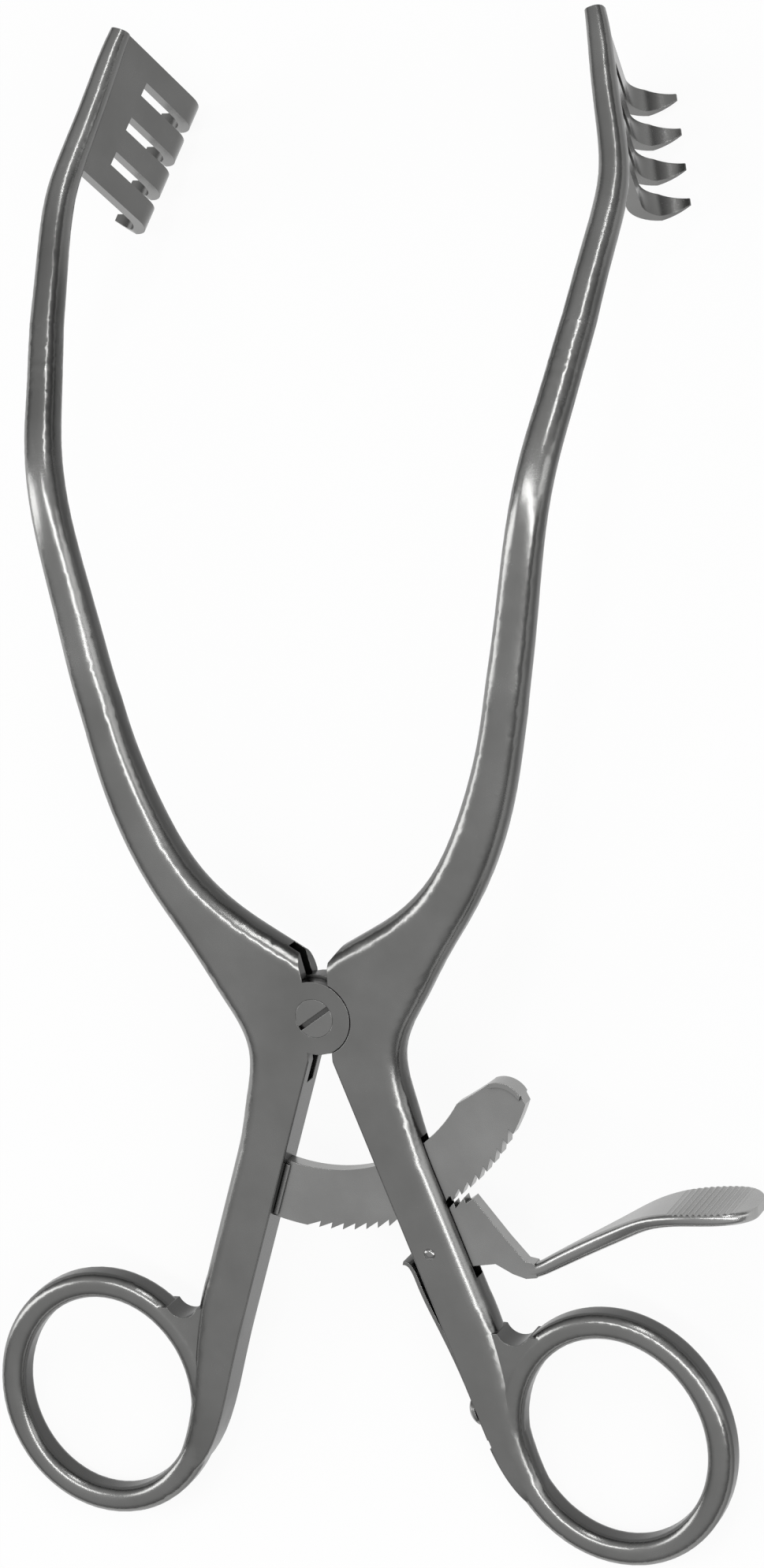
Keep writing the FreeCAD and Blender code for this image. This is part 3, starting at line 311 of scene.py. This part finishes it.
def true_up(piece, seam, run):
    """Bring the middle of each section of an arm into line between the first and last stations."""
    over = run.cross(rightward).normalized()
    across = over.cross(run)
    near = []
    for vertex in piece.data.vertices:
        along = (vertex.co - seam).dot(run)
        if (vertex.co - seam - run * along).length < ARM_REACH:
            near.append((vertex, along))
    middles = []
    for station in STATIONS:
        ring = [vertex.co for vertex, along in near if abs(along - station) < STATION_PLAY]
        middles.append((middle_of(ring, across), middle_of(ring, over)))
    last = len(STATIONS) - 1
    shifts = []
    for number, (side, height) in enumerate(middles):
        share = number / last
        line = [first + (final - first) * share for first, final in zip(middles[0], middles[last])]
        shifts.append(across * (line[0] - side) + over * (line[1] - height))
    pitch = STATIONS[1] - STATIONS[0]
    for vertex, along in near:
        turn = (along - STATIONS[0]) / pitch
        if 0 < turn < last:
            below = int(turn)
            vertex.co += shifts[below].lerp(shifts[below + 1], turn - below)


def half_copy(name, side):
    """A half with its arm trued up. The side is 1 for the right half and -1 for the left one."""
    seam = handle_place(side * SEAM[0], SEAM[1], SEAM[2])
    right, up, front = SEAM_RUN
    run = (rightward * (side * right) + upward * up + facing * front).normalized()
    cuts = [(seam + run * station, run) for station in STATIONS]
    piece = worked_copy(nodes[name], name + "_trued", cuts, CUT_REACH)
    true_up(piece, seam, run)
    return piece


left_half = half_copy("left_half", -1)
settle(left_half)
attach(left_half, "left_side")
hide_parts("left_half")

# The tongue of the right half ends just outside the lobes, so that the slot beside it is open.
# What is ground away lies between two arcs round the pivot, and stops at the walls of the full
# thickness above and below the tongue. A wall has its place to the right, and its outer corner.
TONGUE_END = 0.0053
BEYOND = 0.0086
BEYOND_FINISH = math.radians(74.5)
WALL_ABOVE = 0.00224
WALL_ABOVE_CORNER = (0.00227, 0.0079)
WALL_BELOW = 0.00204
WALL_BELOW_CORNER = (0.00202, -0.006)
GRIND_HALF_DEPTH = 0.0013
ARC_STEPS = 48


def wall_turn(wall):
    """The angle from the right at which the tongue's end meets a wall."""
    return math.atan2(math.sqrt(TONGUE_END ** 2 - wall ** 2), wall)


def arc(radius, start, finish):
    """Places on an arc round the pivot, to the right and up."""
    turns = [start + (finish - start) * step / ARC_STEPS for step in range(ARC_STEPS + 1)]
    return [(radius * math.cos(turn), radius * math.sin(turn)) for turn in turns]


def grind(piece, cutter_outline, half_depth):
    """Take a prism out of a piece. Its outline lies in the plane of the handles."""
    prism = bpy.data.meshes.new("prism")
    low_ring = [handle_place(right, up, -half_depth) for right, up in cutter_outline]
    high_ring = [handle_place(right, up, half_depth) for right, up in cutter_outline]
    count = len(cutter_outline)
    sides = [(i, (i + 1) % count, count + (i + 1) % count, count + i) for i in range(count)]
    caps = [tuple(reversed(range(count))), tuple(range(count, 2 * count))]
    prism.from_pydata(low_ring + high_ring, [], sides + caps)
    cutter = bpy.data.objects.new("prism", prism)
    bpy.context.scene.collection.objects.link(cutter)

    difference = piece.modifiers.new("grind", "BOOLEAN")
    difference.operation = "DIFFERENCE"
    difference.solver = "EXACT"
    difference.object = cutter
    settle(piece)
    bpy.data.objects.remove(cutter)
    bpy.data.meshes.remove(prism)


full_turn = 2 * math.pi
inner = arc(TONGUE_END, wall_turn(WALL_ABOVE), full_turn - wall_turn(WALL_BELOW))
outer_start = math.atan2(WALL_ABOVE_CORNER[1], WALL_ABOVE_CORNER[0])
outer = arc(BEYOND, outer_start, full_turn - BEYOND_FINISH)
right_half = half_copy("right_half", 1)
grind(right_half, [*reversed(inner), *outer, WALL_BELOW_CORNER], GRIND_HALF_DEPTH)
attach(right_half, "right_side")
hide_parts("right_half")

# The leaf spring is clamped at its foot, and its copy is cut across above the clamp.
BENDS = 16
CLAMPED_SHARE = 0.28
STRIP_REACH = 0.05
strip = sorted((vertex.co for vertex in nodes["leaf_spring"].data.vertices), key=upward.dot)
foot, tip = strip[0].copy(), strip[-1].copy()
clamped = foot.lerp(tip, CLAMPED_SHARE)
bends = [(clamped.lerp(tip, turn / BENDS), tip - foot) for turn in range(BENDS)]
leaf_spring = worked_copy(nodes["leaf_spring"], "leaf_spring_flexing", bends, STRIP_REACH)
settle(leaf_spring)
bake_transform(leaf_spring)
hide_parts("leaf_spring")

# Floor: nearly white to the eye and in reflections, with the instrument's soft shadow.
FLOOR_REACH = 9.0
FLOOR_TONE = 0.86
WHITE_SHARE = 0.92
floor_mesh = bpy.data.meshes.new("floor")
floor_corners = [(-1, -1), (1, -1), (1, 1), (-1, 1)]
floor_mesh.from_pydata(
    [(FLOOR_REACH * x, FLOOR_REACH * y, 0) for x, y in floor_corners], [], [(0, 1, 2, 3)]
)
floor = bpy.data.objects.new("floor", floor_mesh)
bpy.context.scene.collection.objects.link(floor)
floor_look = bpy.data.materials.new("white_table")
floor_look.use_nodes = True
tree = floor_look.node_tree
tree.nodes.remove(tree.nodes["Principled BSDF"])
matt = add_node(tree, "ShaderNodeBsdfDiffuse", Color=(FLOOR_TONE, FLOOR_TONE, FLOOR_TONE, 1))
glow = add_node(tree, "ShaderNodeEmission", Color=(1, 1, 1, 1), Strength=1.0)
rays = tree.nodes.new("ShaderNodeLightPath").outputs
seen = compute(tree, "MAXIMUM", rays["Is Camera Ray"], rays["Is Glossy Ray"])
seen = compute(tree, "MAXIMUM", seen, rays["Is Transmission Ray"])
share = compute(tree, "MULTIPLY", seen, WHITE_SHARE)
both = tree.nodes.new("ShaderNodeMixShader")
for entry, value in zip(both.inputs, (share, matt.outputs["BSDF"], glow.outputs["Emission"])):
    tree.links.new(value, entry)
tree.links.new(both.outputs["Shader"], tree.nodes["Material Output"].inputs["Surface"])
floor_mesh.materials.append(floor_look)

# Light: an even room, dim at the horizon and brighter overhead, and four soft boxes.
ROOM_HORIZON = 0.16
ROOM_OVERHEAD = 0.58
ROOM_SPAN = (0.0, 0.85)
LAMP_AIM = handle_place(0, 0.02, 0)
world = bpy.data.worlds.new("studio")
world.use_nodes = True
room = world.node_tree
direction = room.nodes.new("ShaderNodeTexCoord").outputs["Generated"]
height = add_node(room, "ShaderNodeSeparateXYZ", Vector=direction).outputs["Z"]
fade = carry(room, height, ROOM_SPAN, ROOM_HORIZON, ROOM_OVERHEAD, "SMOOTHSTEP")
room.nodes["Background"].inputs["Color"].default_value = (1, 1, 1, 1)
room.links.new(fade, room.nodes["Background"].inputs["Strength"])
bpy.context.scene.world = world


def soft_box(name, place, size, power):
    """An area lamp over the instrument, aimed at its middle."""
    lamp = bpy.data.lights.new(name, "AREA")
    lamp.shape = "RECTANGLE"
    lamp.size, lamp.size_y = size
    lamp.energy = power
    box = bpy.data.objects.new(name, lamp)
    box.location = handle_place(*place)
    box.rotation_mode = "QUATERNION"
    box.rotation_quaternion = (LAMP_AIM - box.location).to_track_quat("-Z", "Y")
    bpy.context.scene.collection.objects.link(box)


soft_box("strip", place=(0.28, 0.15, 0.93), size=(0.11, 1.7), power=5.0)
soft_box("far", place=(0.27, 1.05, 0.72), size=(0.09, 0.5), power=1.8)
soft_box("key", place=(-0.95, 0.1, 0.45), size=(0.30, 1.0), power=3.0)
soft_box("rim", place=(0.95, 0.1, 0.25), size=(0.28, 1.0), power=1.6)

# Camera: the photograph's angle, worked out from the ratchet teeth, screw, rings and symmetry.
# The focal length is in the photograph's pixels.
FRAME_HEIGHT = 1990
FOCAL_LENGTH = 5232.7
SENSOR = 36.0
camera_turn = math.radians(23.199)
camera_rise = math.radians(14.813)
camera_roll = math.radians(-4.549)
camera_distance = 0.51112
aim = handle_place(0.010772, 0.030322, 0)
back = (
    rightward * (math.sin(camera_turn) * math.cos(camera_rise))
    + upward * math.sin(camera_rise)
    + facing * (math.cos(camera_turn) * math.cos(camera_rise))
)
across = rightward * math.cos(camera_turn) - facing * math.sin(camera_turn)
above = back.cross(across)
turned_across = across * math.cos(camera_roll) + above * math.sin(camera_roll)
turned_above = above * math.cos(camera_roll) - across * math.sin(camera_roll)
lens = bpy.data.cameras.new("camera")
lens.sensor_width = SENSOR
lens.lens = FOCAL_LENGTH / FRAME_HEIGHT * SENSOR
lens.clip_start = 0.01
lens.clip_end = 30.0
camera = bpy.data.objects.new("camera", lens)
camera.matrix_world = Matrix.Translation(aim + back * camera_distance) @ Matrix(
    (turned_across, turned_above, back)
).transposed().to_4x4()
bpy.context.scene.collection.objects.link(camera)
bpy.context.scene.camera = camera
bpy.context.scene.view_settings.view_transform = "Standard"
